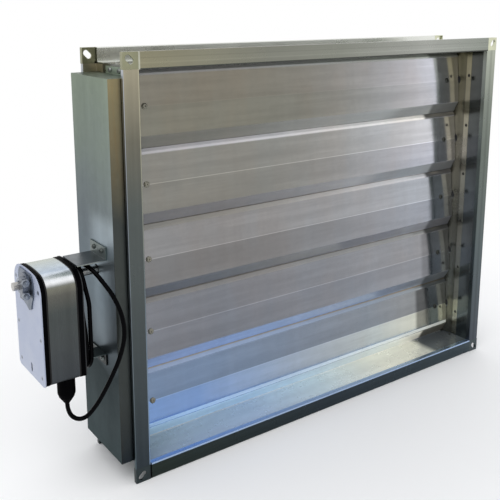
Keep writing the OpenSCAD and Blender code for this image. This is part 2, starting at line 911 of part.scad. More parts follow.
module plate_screws() {
    color("lightgray") at_plate_screws() difference() {
        flush_screw();
        translate([0, 0, -0.8]) cylinder(d = 2.6, h = 1, $fn = 6);
    }
}

// Shaft clamp: hollow spindle, disc and toothed jaw
jaw_teeth = 7;
jaw_seat = shaft_d / 2 + clear;
jaw_h = clamp_d / 2 - jaw_seat + clear;

module shaft_clamp() {
    color("darkgray") on_left(0, shaft_y, drive_z) difference() {
        union() {
            on_axis(act_u) left_rod(spindle_d, clamp_u - act_u + touch);
            on_axis(clamp_u) left_rod(clamp_d, clamp_t);
            on_axis(jaw_u - touch) outward(jaw_t) jaw_outline();
        }
        on_axis(act_u - 1) left_rod(shaft_d + 2 * clear, 2 * act_u);
        for (side = [-1, 1])
            translate([-bow_u, 0, side * bow_half])
                rotate([90, 0, 0]) cylinder(d = bow_d + 0.4, h = clamp_d);
    }
}

module on_axis(u) {
    translate([-u, 0, 0]) children();
}

// Jaw block in front of the shaft, with teeth toward the shaft
bow_half = shaft_d / 2 + bow_d / 2 + 0.4;
module jaw_outline() {
    step = (shaft_d + 2) / jaw_teeth;
    polygon([
        [-jaw_w / 2, -jaw_seat - jaw_h],
        [-jaw_w / 2, -jaw_seat],
        for (i = [0:jaw_teeth - 1]) each [
            [(i - jaw_teeth / 2) * step, -jaw_seat],
            [(i + 0.5 - jaw_teeth / 2) * step, -jaw_seat + 1]
        ],
        [jaw_teeth / 2 * step, -jaw_seat],
        [jaw_w / 2, -jaw_seat],
        [jaw_w / 2, -jaw_seat - jaw_h]
    ]);
}

// Bow round the shaft, with two legs through the jaw
leg_l = jaw_seat + jaw_h + 9;
module clamp_bow() {
    color("lightgray") on_left(bow_u, shaft_y, drive_z) {
        intersection() {
            rotate([0, 90, 0]) rotate_extrude() translate([bow_half, 0]) circle(d = bow_d);
            translate([-bow_d, 0, -2 * bow_half]) cube([2 * bow_d, 2 * bow_half, 4 * bow_half]);
        }
        for (side = [-1, 1]) translate([0, touch, side * bow_half])
            rotate([90, 0, 0]) cylinder(d = bow_d, h = leg_l);
    }
}

nut_t = 5;
module clamp_nuts() {
    color("lightgray") for (side = [-1, 1])
        on_left(bow_u, shaft_y - jaw_seat - jaw_h - touch, drive_z + side * bow_half)
            rotate([90, 0, 0]) difference() {
                cylinder(d = 10 / cos(30), h = nut_t, $fn = 6);
                translate([0, 0, -1]) cylinder(d = bow_d + touch, h = nut_t + 2);
            }
}

// Pointer behind the clamp's disc: a round plate with a flat top and a tapered tip
module position_pointer() {
    base = 0.65 * pointer_r;
    color("gray") on_left(act_face_u + clear, shaft_y, drive_z) outward(pointer_t) difference() {
        union() {
            circle(r = pointer_r);
            rotate(pointer_turn) polygon([
                [-base, base],
                [-pointer_l, pointer_tip / 2],
                [-pointer_l, -pointer_tip / 2],
                [-base, -base]
            ]);
        }
        translate([pointer_top, -2 * pointer_r]) square(4 * pointer_r);
        circle(r = spindle_d / 2 + touch);
    }
}

// Brackets between the cover and the actuator
upper_z = drive_z + crown_z + clear;
upper_y = shaft_y - upper_ahead;
lower_z = lock_z;
lower_y = shaft_y - lower_w / 2;
leg_end_u = act_u + plate_t - 0.1;

module upper_bracket() {
    color("gray") difference() {
        union() {
            on_left(leg_end_u, upper_y, upper_z) cube([leg_end_u - cover_u - touch, upper_w, bracket_t]);
            on_left(cover_u + bracket_t, upper_y, upper_z)
                cube([bracket_t - touch, upper_w, upper_foot]);
        }
        bracket_screw_holes();
    }
}

module lower_bracket() {
    color("dimgray") difference() {
        union() {
            on_left(act_u - bracket_t, lower_y, lower_z - bracket_t / 2)
                cube([act_gap - bracket_t - touch, lower_leg_w, bracket_t]);
            on_left(cover_u + bracket_t, lower_y, lower_z - lower_foot)
                cube([bracket_t - touch, lower_w, lower_foot + bracket_t / 2]);
            on_left(act_u - touch, lower_y, lower_z - lower_foot + 4)
                cube([bracket_t, lower_leg_w, lower_foot - 4 + bracket_t / 2]);
            on_left(housing_u - 1, shaft_y - tongue_w / 2, lower_z - 5)
                cube([housing_u - 1 - act_u + bracket_t, tongue_w, 5 + bracket_t / 2]);
        }
        bracket_screw_holes();
    }
}

module bracket_screw_places() {
    for (side = [-1, 1]) {
        on_left(cover_u + bracket_t, upper_y + upper_w * (2 + side) / 4, upper_z + upper_foot * 0.6)
            children();
        on_left(cover_u + bracket_t, lower_y + lower_w * (2 + side) / 4, lower_z - lower_foot * 0.6)
            children();
    }
}

module bracket_screw_holes() {
    bracket_screw_places() rotate([0, 90, 0])
        cylinder(d = screw_d, h = 4 * (bracket_t + cover_t), center = true);
}

module bracket_screws() {
    color("lightgray") bracket_screw_places() pan_screw(2 * (bracket_t + cover_t));
}

// Cable gland below the actuator
module cable_gland() {
    z0 = drive_z - act_drop + housing_inset;
    color("black") on_left(act_face_u - gland_u, shaft_y - act_w / 2 + gland_in, z0 - touch) rotate([180, 0, 0])
        rotate_extrude() polygon([
            [0, 0],
            [gland_d / 2, 0],
            [gland_d / 2, gland_l * 0.82],
            [gland_d / 2 - 2, gland_l],
            [cable_d / 2 + 1, gland_l + gland_taper],
            [0, gland_l + gland_taper]
        ]);
}

// Cable: rings of points square to the route, joined to one tube
function route_3d(p) = [-inner_x - p[0], p[1], p[2]];
function spline(a, b, c, d, t) =
    0.5 * (2 * b + (c - a) * t + (2 * a - 5 * b + 4 * c - d) * t * t
    + (3 * b - a - 3 * c + d) * t * t * t);
cable_steps = 3;
cable_points = [
    for (i = [0:len(cable_route) - 2]) let (
        b = route_3d(cable_route[i]),
        c = route_3d(cable_route[i + 1]),
        a = i == 0 ? 2 * b - c : route_3d(cable_route[i - 1]),
        d = i == len(cable_route) - 2 ? 2 * c - b : route_3d(cable_route[i + 2]))
        for (s = [0:cable_steps - 1]) spline(a, b, c, d, s / cable_steps),
    route_3d(cable_route[len(cable_route) - 1])
];
function cable_dir(i) =
    unit(cable_points[min(i + 1, len(cable_points) - 1)] - cable_points[max(i - 1, 0)]);
// A direction square to the route, carried on from ring to ring
function carried(i, v) = unit(v - (v * cable_dir(i)) * cable_dir(i));
function cable_sides(i = 0, v = [0, 1, 0]) =
    let (w = carried(i, v)) i == len(cable_points) - 1 ? [w] : concat([w], cable_sides(i + 1, w));

module cable() {
    sides = 8;
    frames = cable_sides();
    rings = len(cable_points);
    points = [for (i = [0:rings - 1], s = [0:sides - 1])
        let (a = 360 * s / sides, v = frames[i])
        cable_points[i] + cable_d / 2 * (v * cos(a) + cross(cable_dir(i), v) * sin(a))];
    walls = [for (i = [0:rings - 2], s = [0:sides - 1])
        let (a = i * sides + s, b = i * sides + (s + 1) % sides)
        [b, a, a + sides, b + sides]];
    color("black") polyhedron(points, concat(
        [[for (s = [0:sides - 1]) s]],
        walls,
        [[for (s = [sides - 1:-1:0]) (rings - 1) * sides + s]]));
}

// Coil: two turns side by side round the drive shaft, as one racetrack ring
coil_w = cable_d + 0.5;
coil_t = 2 * cable_d + 1;
coil_u = act_u - coil_gap - coil_t;
coil_y = shaft_y - coil_ahead;
module racetrack(r) {
    for (z = [0, -coil_l]) translate([z, 0]) circle(r = r, $fn = 72);
    translate([-coil_l, -r]) square([coil_l, 2 * r]);
}

module cable_coil() {
    top = drive_z + coil_rise - coil_r;
    color("black") on_left(coil_u, coil_y, top) outward(coil_t) difference() {
        racetrack(coil_r + coil_w / 2);
        racetrack(coil_r - coil_w / 2);
    }
}

// Tie round both turns, on the coil's back run
module cable_tie() {
    z = drive_z + coil_rise - coil_r - coil_l / 2;
    color("dimgray") on_left(coil_u + coil_t / 2, coil_y + coil_r, z)
        linear_extrude(height = tie_w, center = true) difference() {
            square([coil_t + 2 * (touch + tie_t), coil_w + 2 * (touch + tie_t)], center = true);
            square([coil_t + 2 * touch, coil_w + 2 * touch], center = true);
        }
}

casing_top();
casing_bottom();
casing_left();
casing_right();
casing_rivets();
front_flange_top();
front_flange_bottom();
front_flange_left();
front_flange_right();
back_flange_top();
back_flange_bottom();
back_flange_left();
back_flange_right();
front_flange_corners();
back_flange_corners();
left_side_seal();
right_side_seal();
seal_rivets();
left_bushes();
right_bushes();
for (k = blade_ids) {
    blade(k);
    shaft(k);
    blade_rivets(k);
    lever(k);
}
link_bar();
linkage_cover();
cover_screws();
upper_bracket();
lower_bracket();
bracket_screws();
actuator_back_plate();
actuator_back_gasket();
actuator_housing();
actuator_front_gasket();
actuator_front_plate();
plate_screws();
shaft_clamp();
clamp_bow();
clamp_nuts();
position_pointer();
cable_gland();
cable();
cable_coil();
cable_tie();
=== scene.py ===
import math
import bpy
from mathutils import Matrix, Vector


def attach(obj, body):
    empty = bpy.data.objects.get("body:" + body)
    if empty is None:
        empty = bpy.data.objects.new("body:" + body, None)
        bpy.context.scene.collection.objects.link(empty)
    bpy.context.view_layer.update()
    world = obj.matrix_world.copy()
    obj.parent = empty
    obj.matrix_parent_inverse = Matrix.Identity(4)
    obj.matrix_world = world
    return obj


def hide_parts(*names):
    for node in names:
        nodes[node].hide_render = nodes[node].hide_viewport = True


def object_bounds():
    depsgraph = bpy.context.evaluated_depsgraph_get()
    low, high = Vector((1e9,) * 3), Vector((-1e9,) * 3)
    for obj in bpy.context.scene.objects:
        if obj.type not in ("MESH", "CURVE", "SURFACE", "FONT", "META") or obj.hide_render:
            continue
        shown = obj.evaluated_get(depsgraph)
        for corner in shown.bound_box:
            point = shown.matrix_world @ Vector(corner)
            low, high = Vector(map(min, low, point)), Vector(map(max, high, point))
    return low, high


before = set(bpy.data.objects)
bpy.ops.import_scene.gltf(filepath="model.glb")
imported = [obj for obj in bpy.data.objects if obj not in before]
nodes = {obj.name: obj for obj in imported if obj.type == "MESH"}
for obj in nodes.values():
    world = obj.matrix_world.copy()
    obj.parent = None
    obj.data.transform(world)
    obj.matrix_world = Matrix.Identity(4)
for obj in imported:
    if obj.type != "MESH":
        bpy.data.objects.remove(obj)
cad_lo, cad_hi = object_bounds()
scene = bpy.context.scene

# Sizes that the materials follow, in metres
INNER_X, INNER_Z = 0.375, 0.3  # half the duct's opening
OUTER_X = 0.399                # half the flanges' width
TOP_BLADE_Z = 0.239            # height of the top blade's axis
BLADE_PITCH = 0.1185
UPPER_SHELF_Z, LOWER_SHELF_Z = 0.0253, -0.124  # top faces of the two brackets' shelves
THREAD_PITCH = 0.001

# The camera, fitted to the photo's edges. The photo is a crop, so its lens centre lies above its middle.
PHOTO_PX = 500
LENS_CENTRE_ROW = 165
FOCAL_PX = 761.8
SENSOR_MM = 36
CAMERA_AT = (-0.8588, -0.9356, 0.3861)
YAW, PITCH, ROLL = math.radians(35.628), math.radians(-11.889), math.radians(0.014)


def make_camera():
    """From the left front and slightly above; yaw turns from +Y toward +X."""
    ahead = Vector((math.sin(YAW) * math.cos(PITCH), math.cos(YAW) * math.cos(PITCH), math.sin(PITCH)))
    level = Vector((math.cos(YAW), -math.sin(YAW), 0))
    above = level.cross(ahead)
    right = level * math.cos(ROLL) + above * math.sin(ROLL)
    up = above * math.cos(ROLL) - level * math.sin(ROLL)
    data = bpy.data.cameras.new("camera")
    data.sensor_width = SENSOR_MM
    data.lens = FOCAL_PX / PHOTO_PX * SENSOR_MM
    data.shift_y = (LENS_CENTRE_ROW - PHOTO_PX / 2) / PHOTO_PX
    data.clip_start, data.clip_end = 0.05, 50
    cam = bpy.data.objects.new("camera", data)
    scene.collection.objects.link(cam)
    rows = [(right[i], up[i], -ahead[i], CAMERA_AT[i]) for i in range(3)]
    cam.matrix_world = Matrix((*rows, (0, 0, 0, 1)))
    scene.camera = cam


make_camera()


# Materials
class Shader:
    """A node material under construction: each method adds nodes and returns an output socket."""

    def __init__(self, name):
        self.mat = bpy.data.materials.new(name)
        self.mat.use_nodes = True
        self.tree = self.mat.node_tree
        self.bsdf = self.tree.nodes["Principled BSDF"]
        self.coords = self.tree.nodes.new("ShaderNodeTexCoord").outputs["Object"]

    def node(self, kind, **props):
        n = self.tree.nodes.new(kind)
        for k, v in props.items():
            setattr(n, k, v)
        return n

    def link(self, value, socket):
        if isinstance(value, bpy.types.NodeSocket):
            self.tree.links.new(value, socket)
        else:
            socket.default_value = value

    def scaled(self, scale):
        n = self.node("ShaderNodeMapping")
        self.link(self.coords, n.inputs["Vector"])
        n.inputs["Scale"].default_value = scale
        return n.outputs["Vector"]

    def noise(self, scale, detail=3.0, rough=0.5, stretch=(1, 1, 1)):
        n = self.node("ShaderNodeTexNoise")
        self.link(self.scaled(stretch), n.inputs["Vector"])
        n.inputs["Scale"].default_value = scale
        n.inputs["Detail"].default_value = detail
        n.inputs["Roughness"].default_value = rough
        return n.outputs["Fac"]

    def cells(self, scale):
        """A random number for each zinc flower."""
        n = self.node("ShaderNodeTexVoronoi")
        self.link(self.scaled((1, 1, 1)), n.inputs["Vector"])
        n.inputs["Scale"].default_value = scale
        s = self.node("ShaderNodeSeparateColor")
        self.link(n.outputs["Color"], s.inputs[0])
        return s.outputs[0]

    def remap(self, value, a, b, lo, hi, smooth=False):
        n = self.node("ShaderNodeMapRange")
        if smooth:
            n.interpolation_type = "SMOOTHSTEP"
        for k, v in zip(("Value", "From Min", "From Max", "To Min", "To Max"), (value, a, b, lo, hi)):
            self.link(v, n.inputs[k])
        return n.outputs[0]

    def math(self, op, a, b=0.0):
        n = self.node("ShaderNodeMath", operation=op)
        self.link(a, n.inputs[0])
        self.link(b, n.inputs[1])
        return n.outputs[0]

    def mix(self, fac, a, b, mode="MIX"):
        n = self.node("ShaderNodeMix", data_type="RGBA", blend_type=mode)
        self.link(fac, n.inputs[0])
        for v, s in ((a, n.inputs[6]), (b, n.inputs[7])):
            self.link(v if isinstance(v, bpy.types.NodeSocket) else (*v, 1), s)
        return n.outputs[2]

    def mix_value(self, fac, a, b):
        """Like mix, for plain numbers."""
        return self.math("ADD", self.math("MULTIPLY", a, self.math("SUBTRACT", 1.0, fac)),
                         self.math("MULTIPLY", b, fac))

    def ramp(self, fac, *stops):
        n = self.node("ShaderNodeValToRGB")
        e = n.color_ramp.elements
        while len(e) < len(stops):
            e.new(0.5)
        for el, (p, c) in zip(e, stops):
            el.position = p
            el.color = (*c, 1)
        self.link(fac, n.inputs[0])
        return n.outputs[0]

    def axis(self, k):
        """The coordinate along X, Y or Z (0, 1 or 2), in metres of the row frame at rest."""
        n = self.node("ShaderNodeSeparateXYZ")
        self.link(self.coords, n.inputs[0])
        return n.outputs[k]

    def bump(self, height, distance, before=None):
        n = self.node("ShaderNodeBump")
        n.inputs["Distance"].default_value = distance
        self.link(height, n.inputs["Height"])
        if before is not None:
            self.link(before, n.inputs["Normal"])
        return n.outputs["Normal"]

    def bevel(self, radius):
        """Normals rounded over sharp edges, so that folds and rims catch the light."""
        n = self.node("ShaderNodeBevel")
        n.samples = 6
        n.inputs["Radius"].default_value = radius
        return n.outputs[0]

    def band(self, value, lo, hi, soft):
        """1 between lo and hi, falling to 0 over the width soft on both sides."""
        return self.math("MULTIPLY", self.remap(value, lo - soft, lo, 0, 1, True),
                         self.remap(value, hi, hi + soft, 1, 0, True))

    def finish(self, color, rough, normal=None, **sockets):
        """Connect the shader's inputs; sockets are other inputs by name. Returns the material."""
        self.link(color if isinstance(color, bpy.types.NodeSocket) else (*color, 1),
                  self.bsdf.inputs["Base Color"])
        self.link(rough, self.bsdf.inputs["Roughness"])
        if normal is not None:
            self.link(normal, self.bsdf.inputs["Normal"])
        for k, v in sockets.items():
            self.link(v, self.bsdf.inputs[k.replace("_", " ")])
        return self.mat


def linear(r, g, b):
    """A colour from 0 to 255, as linear light."""
    return tuple((v / 255 / 12.92) if v <= 10 else ((v / 255 + 0.055) / 1.055) ** 2.4 for v in (r, g, b))


def gradient(s, value, *stops):
    """Colours laid along a coordinate: each stop is a place and a colour from 0 to 255."""
    lo, hi = stops[0][0], stops[-1][0]
    return s.ramp(s.remap(value, lo, hi, 0, 1), *[((q[0] - lo) / (hi - lo), linear(*q[1:])) for q in stops])


def times(s, color, k):
    """A colour made brighter or darker by a number, a colour or a socket."""
    if isinstance(k, (int, float)):
        k = (k, k, k)
    return s.mix(1.0, color, k, "MULTIPLY")


FINE_MARKS = 0.00002  # depth of rolling and tool marks


def wear(s, base, spangle=0.08, stain=0.2, grain=(1, 1, 1), grain_scale=30):
    """Zinc flowers, faint rolling marks and dull stains over a base colour; also the rolling marks."""
    fine = s.noise(grain_scale, 5, 0.6, grain)
    dark, light = times(s, base, 0.66), times(s, base, 1.22)
    base = s.mix(s.remap(s.noise(4.5, 5, 0.6), 0.35, 0.68, 0, stain, True), base, dark)
    base = s.mix(s.remap(s.cells(110), 0, 1, 0, 3 * spangle), base, light)
    base = s.mix(s.remap(fine, 0.42, 0.7, 0, 0.35), base, dark)
    base = s.mix(s.remap(fine, 0.3, 0.5, 0.25, 0), base, light)
    return base, fine


def zinc(s, base, rough=(0.16, 0.3), wave=0.0012, round_edge=0.0, metallic=1.0, shape=None, **marks):
    """Galvanised sheet: a base colour with wear, uneven gloss and a slightly wavy surface.

    round_edge: radius over which sharp edges catch the light; shape: a normal to start from instead.
    """
    base, fine = wear(s, base, **marks)
    r = s.remap(s.noise(14, 5, 0.6), 0.3, 0.7, rough[0], rough[1])
    form = s.bevel(round_edge) if round_edge else shape
    wavy = s.bump(s.noise(3.5, 1.5, 0.4), wave, form)
    return s.finish(base, r, s.bump(fine, FINE_MARKS, wavy), Metallic=metallic)


UPTURNED_FRONT = (0, -0.906, 0.423)  # a shading normal 25 degrees upward from the front, for a painted reflection
FOLD_METAL = 0.3  # how metallic the folded edges are: duller than the faces


def upturned_normal(s, part):
    """For the lowest blade's lip, which faces down: where part is 1, a shading normal that looks upward, so
    that the lip mirrors the white surroundings as a painted reflection.
    """
    front = s.node("ShaderNodeSeparateXYZ")
    s.link(s.tree.nodes["Texture Coordinate"].outputs["Normal"], front.inputs[0])
    turn = s.node("ShaderNodeVectorTransform", vector_type="NORMAL",
                  convert_from="OBJECT", convert_to="WORLD")
    turn.inputs[0].default_value = UPTURNED_FRONT
    blend = s.node("ShaderNodeMix", data_type="VECTOR")
    s.link(s.math("MULTIPLY", part, s.remap(front.outputs[1], -0.85, -0.9, 0, 1)), blend.inputs[0])
    s.link(s.node("ShaderNodeNewGeometry").outputs["Normal"], blend.inputs[4])
    s.link(turn.outputs[0], blend.inputs[5])
    return blend.outputs[1]


def blade_sheet(k, power, face, low, lip, crown, dark, crease=1.5, painted_lip_reflection=False, line=(1, 1, 1)):
    """Blade k: face above the axis, low below it, the lip at its foot and the crown at its top.

    face, low, lip, crown: the colours at the part's left and right, painted reflections and shade that
    mostly brighten toward the right end; power bends the faces' change.
    dark: where the right end's painted shade starts (X) and how dark it is, on the faces, the lip and the
    crown, standing for the dark side wall mirrored there.
    crease: brightness of the painted highlight along the fold at the axis. line: tint of the painted shadow
    on the strip under the blade above.
    """
    s = Shader(f"blade_sheet_{k}")
    along = s.axis(0)
    x = s.remap(along, -0.25, 0.30, 0, 1)
    h = s.math("SUBTRACT", s.axis(2), TOP_BLADE_Z - BLADE_PITCH * (k - 1))

    def spread(p, left, right):
        return s.mix(s.math("POWER", x, p), linear(*left), linear(*right))

    # Painted shade at the right ends: a painted reflection of the dark side wall
    face_end, lip_end, crown_end = (s.remap(along, at - 0.008, at + 0.004, 0, 1, True)
                                    for at, _ in dark)
    open_end = s.math("MULTIPLY", face_end, s.remap(along, 0.308, 0.316, 1, 0, True))
    lip_part = s.remap(h, -0.0425, -0.0455, 0, 1, True)
    crown_part = s.remap(h, 0.0445, 0.0475, 0, 1, True)
    # Painted reflections and shade on the faces, the lip and the crown, changing from left to right
    base = s.mix(s.remap(h, 0.001, -0.001, 0, 1), spread(power, *face), spread(power, *low))
    # A painted highlight along the fold at the axis
    base = s.mix(s.band(h, -0.0003, 0.0005, 0.0004), base, times(s, base, crease))
    base = s.mix(open_end, base, times(s, base, dark[0][1]))
    lip_base = spread(1.6, *lip)
    base = s.mix(lip_part, base, s.mix(lip_end, lip_base, times(s, lip_base, dark[1][1])))
    crown_base = spread(1.6, *crown)
    # A painted shadow on the crown, under the lip of the blade above
    painted_seam = 0.0535 - 0.0006 * (k - 2)
    crown_base = s.mix(s.remap(h, painted_seam, painted_seam + 0.0012, 0, 1, True), crown_base,
                       times(s, crown_base, line))
    base = s.mix(crown_part, base, s.mix(crown_end, crown_base, times(s, crown_base, dark[2][1])))
    streak = s.noise(34, 4, 0.6, (1, 0.2, 0.06))
    base = s.mix(s.remap(streak, 0.4, 0.72, 0, 0.14, True), base, times(s, base, 1.3))
    tint = s.noise(9, 3, 0.6, (1, 1, 0.5))
    base = s.mix(s.remap(tint, 0.35, 0.65, 0, 0.5, True), base, times(s, base, (1.06, 0.98, 0.92)))
    dull, shape = lip_part, None
    # On the lowest blade, a painted reflection: the slope above the lip painted bright and the lip turned
    # to mirror the white surroundings
    if painted_lip_reflection:
        slope = s.band(h, -0.0425, -0.0372, 0.0005)
        base = s.mix(slope, base, s.mix(x, linear(184, 218, 255), linear(252, 254, 244)))
        dull, shape = s.math("MAXIMUM", slope, lip_part), upturned_normal(s, lip_part)
    metal = s.math("SUBTRACT", s.remap(dull, 0, 1, 1.0, FOLD_METAL),
                   s.math("MULTIPLY", crown_part, 1 - FOLD_METAL))
    return zinc(s, base, rough=(0.08, 0.17), wave=0.0006, metallic=metal, spangle=0.05, stain=0.2,
                grain=(0.06, 1, 1), grain_scale=60, shape=shape)


def left_flange():
    """Left profiles, in painted light and shade: the face, the outer lip's side and the inner lip that
    faces the duct.
    """
    s = Shader("flange_profile_left")
    x, z = s.axis(0), s.axis(2)
    # Painted shade and light: darker toward the bottom, lighter toward the top
    base = gradient(s, z, (-0.3, 60, 68, 74), (0.1, 94, 100, 98), (0.2, 120, 118, 106),
                    (0.3, 174, 167, 145))
    # A painted highlight on the outer lip's side, and a painted reflection on the inner lip
    outer = gradient(s, z, (-0.3, 90, 104, 110), (0.1, 134, 142, 150), (0.3, 186, 190, 196))
    inner = gradient(s, z, (-0.3, 150, 175, 205), (0.0, 120, 130, 132), (0.3, 205, 200, 172))
    base = s.mix(s.remap(x, -OUTER_X + 0.0006, -OUTER_X + 0.0011, 1, 0), base, outer)
    base = s.mix(s.remap(x, -INNER_X - 0.0014, -INNER_X - 0.0007, 0, 1), base, inner)
    ridge = s.noise(70, 3, 0.6, (1, 0.02, 0.02))
    base = s.mix(s.remap(ridge, 0.4, 0.65, 0, 0.5), base, times(s, base, 0.78))
    return zinc(s, base, rough=(0.24, 0.38), wave=0.0005, grain=(1, 1, 0.04), spangle=0.03, stain=0.25)


def right_flange():
    """Right profiles in painted shade, darker toward the bottom, with a painted shade line along the face
    for a shallow bead.
    """
    s = Shader("flange_profile_right")
    x, z = s.axis(0), s.axis(2)
    base = gradient(s, z, (-0.3, 76, 82, 90), (-0.1, 94, 104, 106), (0.1, 116, 124, 117),
                    (0.2, 140, 147, 138), (0.3, 184, 189, 175))
    # A painted shade line for the bead
    base = s.mix(s.band(x, 0.384, 0.388, 0.002), base, times(s, base, 0.8))
    return zinc(s, base, rough=(0.24, 0.38), wave=0.0005, grain=(1, 1, 0.04), spangle=0.03, stain=0.2)


def level_flange(name, colors, painted_seam, line, inner):
    """Top or bottom profile in painted light and shade along X, with a painted light line and a painted
    shade line along it for a shallow bead, and a line at the joint at its left end.

    line: brightness of the painted light line on the bead's lower side; the other line takes its opposite.
    seam: colour of the line at the joint, a painted highlight on the top profile and dark on the bottom
    one. inner: colour of the inner lip, painted shade on the top profile and a painted reflection on the
    bottom one.
    """
    s = Shader(name)
    x, z = s.axis(0), s.math("ABSOLUTE", s.axis(2))
    base = gradient(s, x, *colors)
    # Painted light and shade lines for the bead, then the inner lip's painted light and the line at the
    # joint
    base = s.mix(s.band(z, 0.3075, 0.3085, 0.001), base, times(s, base, line))
    base = s.mix(s.band(z, 0.3150, 0.3155, 0.001), base, times(s, base, 2 - line))
    base = s.mix(s.remap(z, INNER_Z + 0.0014, INNER_Z + 0.0010, 0, 1), base, linear(*inner))
    base = s.mix(s.remap(x, -INNER_X + 0.0028, -INNER_X + 0.0024, 0, 1), base, linear(*painted_seam))
    return zinc(s, base, rough=(0.22, 0.36), wave=0.0005, grain=(0.04, 1, 1), spangle=0.03, stain=0.25)


def back_top_flange():
    """The back flange's top profile, with a painted highlight inside, where it looks to the front."""
    s = Shader("flange_profile_back_top")
    outside = gradient(s, s.axis(0), (-0.375, 146, 142, 120), (0.375, 152, 156, 148))
    # A painted highlight on the inside face
    base = s.mix(s.remap(s.axis(1), 0.1385, 0.1390, 1, 0), outside, linear(226, 228, 222))
    return zinc(s, base, rough=(0.22, 0.36), wave=0.0005, grain=(0.04, 1, 1), spangle=0.03, stain=0.1)


def corner_zinc():
    """Corner plates in painted light and shade like the profiles beside them: lighter toward the top and
    the right, with painted light at the two top corners.
    """
    s = Shader("corner_plate")
    base = gradient(s, s.axis(2), (-0.3, 60, 68, 70), (0.1, 100, 106, 100), (0.3, 158, 154, 134))
    base = times(s, base, s.remap(s.axis(0), -0.3, 0.4, 1.0, 1.6))
    # Painted light where the two top corners catch the light
    for side, color in ((1, (214, 216, 190)), (-1, (150, 150, 124))):
        corner = s.math("MULTIPLY", s.remap(s.axis(0), side * 0.2, side * 0.3, 0, 1),
                        s.remap(s.axis(2), 0.2, 0.3, 0, 1))
        base = s.mix(corner, base, linear(*color))
    return zinc(s, base, rough=(0.25, 0.4), spangle=0.08, stain=0.35, round_edge=0.0008)


def cover_sheet():
    """The linkage cover: greenish zinc in painted shade, darkest below the actuator, with painted light
    beside it; olive in front, where painted shade darkens the wall toward the bottom.

    The lower specular tint keeps grazing reflections off the dark zinc.
    """
    s = Shader("cover_sheet")
    y, z = s.axis(1), s.axis(2)
    cloud = s.remap(s.noise(7, 6, 0.6), 0.3, 0.7, -0.03, 0.03)
    zz = s.math("ADD", z, cloud)
    # Painted shade: darker toward the bottom and darkest below the actuator
    side = gradient(s, zz, (-0.3, 80, 93, 95), (-0.22, 74, 84, 86), (-0.15, 60, 68, 70),
                    (-0.09, 112, 121, 127), (-0.03, 126, 138, 146), (0.08, 128, 137, 142),
                    (0.3, 150, 162, 145))
    # Painted light beside the actuator, lifting the dark image of it in the sheet
    shaded = s.math("MULTIPLY", s.band(z, -0.10, 0.07, 0.03), s.remap(y, 0.10, 0.06, 0, 1, True))
    side = s.mix(shaded, side, times(s, side, 1.75))
    # The front wall in painted shade, darker than the side and toward the bottom
    front = gradient(s, zz, (-0.3, 38, 45, 51), (-0.2, 64, 68, 67), (0.1, 66, 70, 68), (0.3, 146, 135, 102))
    rust = s.remap(s.noise(26, 5, 0.6, (1, 1, 0.15)), 0.5, 0.7, 0, 0.6, True)
    front = s.mix(rust, front, times(s, front, (1.15, 0.86, 0.6)))
    base = s.mix(s.remap(y, 0.0084, 0.0092, 1, 0), side, front)
    s.bsdf.inputs["Specular Tint"].default_value = (0.5, 0.5, 0.5, 1)
    return zinc(s, base, rough=(0.28, 0.42), wave=0.0007, grain=(1, 1, 0.1), spangle=0.07, stain=0.2,
                round_edge=0.0012)


def seal_sheet():
    """Side seals: dull stainless strip, with a painted highlight along its front edge."""
    s = Shader("seal_strip")
    y, z = s.axis(1), s.axis(2)
    base = gradient(s, z, (-0.3, 134, 134, 124), (-0.15, 112, 114, 107), (-0.05, 100, 100, 92),
                    (0.1, 132, 128, 114), (0.3, 102, 99, 76))
    # A painted highlight along the front edge
    base = s.mix(s.remap(y, 0.0475, 0.0470, 0, 1), base, times(s, base, 2.2))
    return zinc(s, base, rough=(0.16, 0.3), wave=0.0003, spangle=0.0, grain=(1, 1, 0.05))


def bracket_sheet(name, top, below, edge, level):
    """A bracket: colours for its shelf's top at the height level (painted light), for what lies below it
    (painted shade) and for its cut front edge (a painted highlight).
    """
    s = Shader(name)
    y, z = s.axis(1), s.axis(2)
    # Painted light on the shelf, painted shade below it and a painted highlight on the front edge
    base = s.mix(s.remap(z, level - 0.0012, level - 0.0010, 0, 1), linear(*below), linear(*top))
    front = s.math("MULTIPLY", s.remap(y, 0.0453, 0.0455, 1, 0),
                   s.band(z, level - 0.0012, level + 0.0008, 0.0003))
    base = s.mix(front, base, linear(*edge))
    base = s.mix(s.remap(z, level + 0.0022, level + 0.0026, 0, 1), base, linear(108, 118, 116))
    return zinc(s, base, rough=(0.26, 0.4), wave=0.0004, stain=0.5, spangle=0.1, round_edge=0.0006)


def steel(name, color, rough=(0.25, 0.42), scale=220, stretch=(1, 1, 1), depth=FINE_MARKS, stain=0.3):
    """Turned, pressed or drawn steel with fine tool marks and a little grime."""
    s = Shader(name)
    marks = s.noise(scale, 4, 0.6, stretch)
    grime = s.remap(s.noise(38, 5, 0.6), 0.5, 0.75, 0, stain, True)
    dark = tuple(c * 0.45 for c in color)
    marked = s.mix(s.remap(marks, 0.3, 0.7, 0, 0.35), color, tuple(c * 0.7 for c in color))
    r = s.remap(marks, 0.3, 0.7, rough[0], rough[1])
    return s.finish(s.mix(grime, marked, dark), r, s.bump(marks, depth), Metallic=1.0)


def plastic(name, color, rough=(0.4, 0.55), speck=0.15, spec=0.5):
    """Moulded plastic or rubber with a fine skin and a little dust."""
    s = Shader(name)
    skin = s.noise(900, 3, 0.6)
    dust = s.remap(s.noise(45, 6, 0.65), 0.45, 0.75, 0, speck, True)
    pale = tuple(c * 0.6 + 0.05 for c in color)
    base = s.mix(dust, color, pale)
    r = s.remap(s.noise(60, 4), 0.3, 0.7, rough[0], rough[1])
    s.bsdf.inputs["Specular IOR Level"].default_value = spec
    return s.finish(base, r, s.bump(skin, 0.00003))


